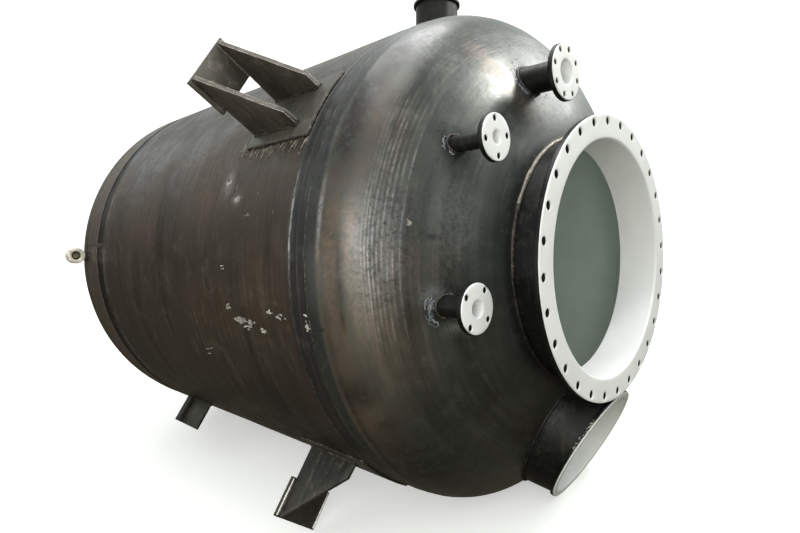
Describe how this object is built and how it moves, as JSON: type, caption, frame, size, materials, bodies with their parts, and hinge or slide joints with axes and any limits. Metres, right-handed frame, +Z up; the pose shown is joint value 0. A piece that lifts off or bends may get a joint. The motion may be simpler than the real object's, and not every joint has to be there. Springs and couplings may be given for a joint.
{
  "type": "horizontal lined steel pressure vessel",
  "caption": "Lined steel pressure vessel lying on its side, with dished ends, a large flanged opening, smaller nozzles on the front head and support brackets.",
  "frame": {"origin": "centre of the sealing face of the big flanged opening, on the vessel axis", "axes": "+X along the vessel axis, out of the big opening; +Z up; the vessel lies on its shell and on the rim of its low outlet, at z = -1.116 m"},
  "size_m": [3.5103, 2.4129, 2.4531],
  "materials": {
    "shell_steel": "bare hot-rolled steel plate with mill scale, satin",
    "girth_steel": "ground and heat-tinted steel, dark",
    "nozzle_steel": "black mill-scale pipe and flange steel, satin",
    "bracket_steel": "bare hot-rolled plate, satin",
    "eye_steel": "bright machined steel, satin",
    "lining": "white moulded plastic lining, smooth"
  },
  "bodies": {
    "root": {"bracket_a_base_plate": "bracket_steel", "bracket_a_pad": "bracket_steel", "bracket_a_ribs": "bracket_steel", "bracket_b_base_plate": "bracket_steel", "bracket_b_pad": "bracket_steel", "bracket_b_rib": "bracket_steel", "bracket_c_base_plate": "bracket_steel", "bracket_c_pad": "bracket_steel", "bracket_c_rib": "bracket_steel", "bracket_d_base_plate": "bracket_steel", "bracket_d_pad": "bracket_steel", "bracket_d_ribs": "bracket_steel", "front_girth_ring": "girth_steel", "front_head": "shell_steel", "front_head_lining": "lining", "gauge_nozzle_flange": "nozzle_steel", "gauge_nozzle_lining": "lining", "gauge_nozzle_neck": "nozzle_steel", "inlet_nozzle_flange": "nozzle_steel", "inlet_nozzle_lining": "lining", "inlet_nozzle_neck": "nozzle_steel", "main_flange": "nozzle_steel", "main_neck": "nozzle_steel", "main_neck_lining": "lining", "outlet_lining": "lining", "outlet_neck": "nozzle_steel", "outlet_ring": "nozzle_steel", "rear_bracket_left": "bracket_steel", "rear_bracket_right": "bracket_steel", "rear_course": "shell_steel", "rear_eye_left": "eye_steel", "rear_eye_right": "eye_steel", "rear_girth_ring": "girth_steel", "rear_head": "shell_steel", "rear_head_lining": "lining", "sample_nozzle_flange": "nozzle_steel", "sample_nozzle_lining": "lining", "sample_nozzle_neck": "nozzle_steel", "shell_course": "shell_steel", "shell_lining": "lining", "top_lining": "lining", "top_neck": "nozzle_steel", "top_ring": "nozzle_steel"}
  },
  "joints": []
}
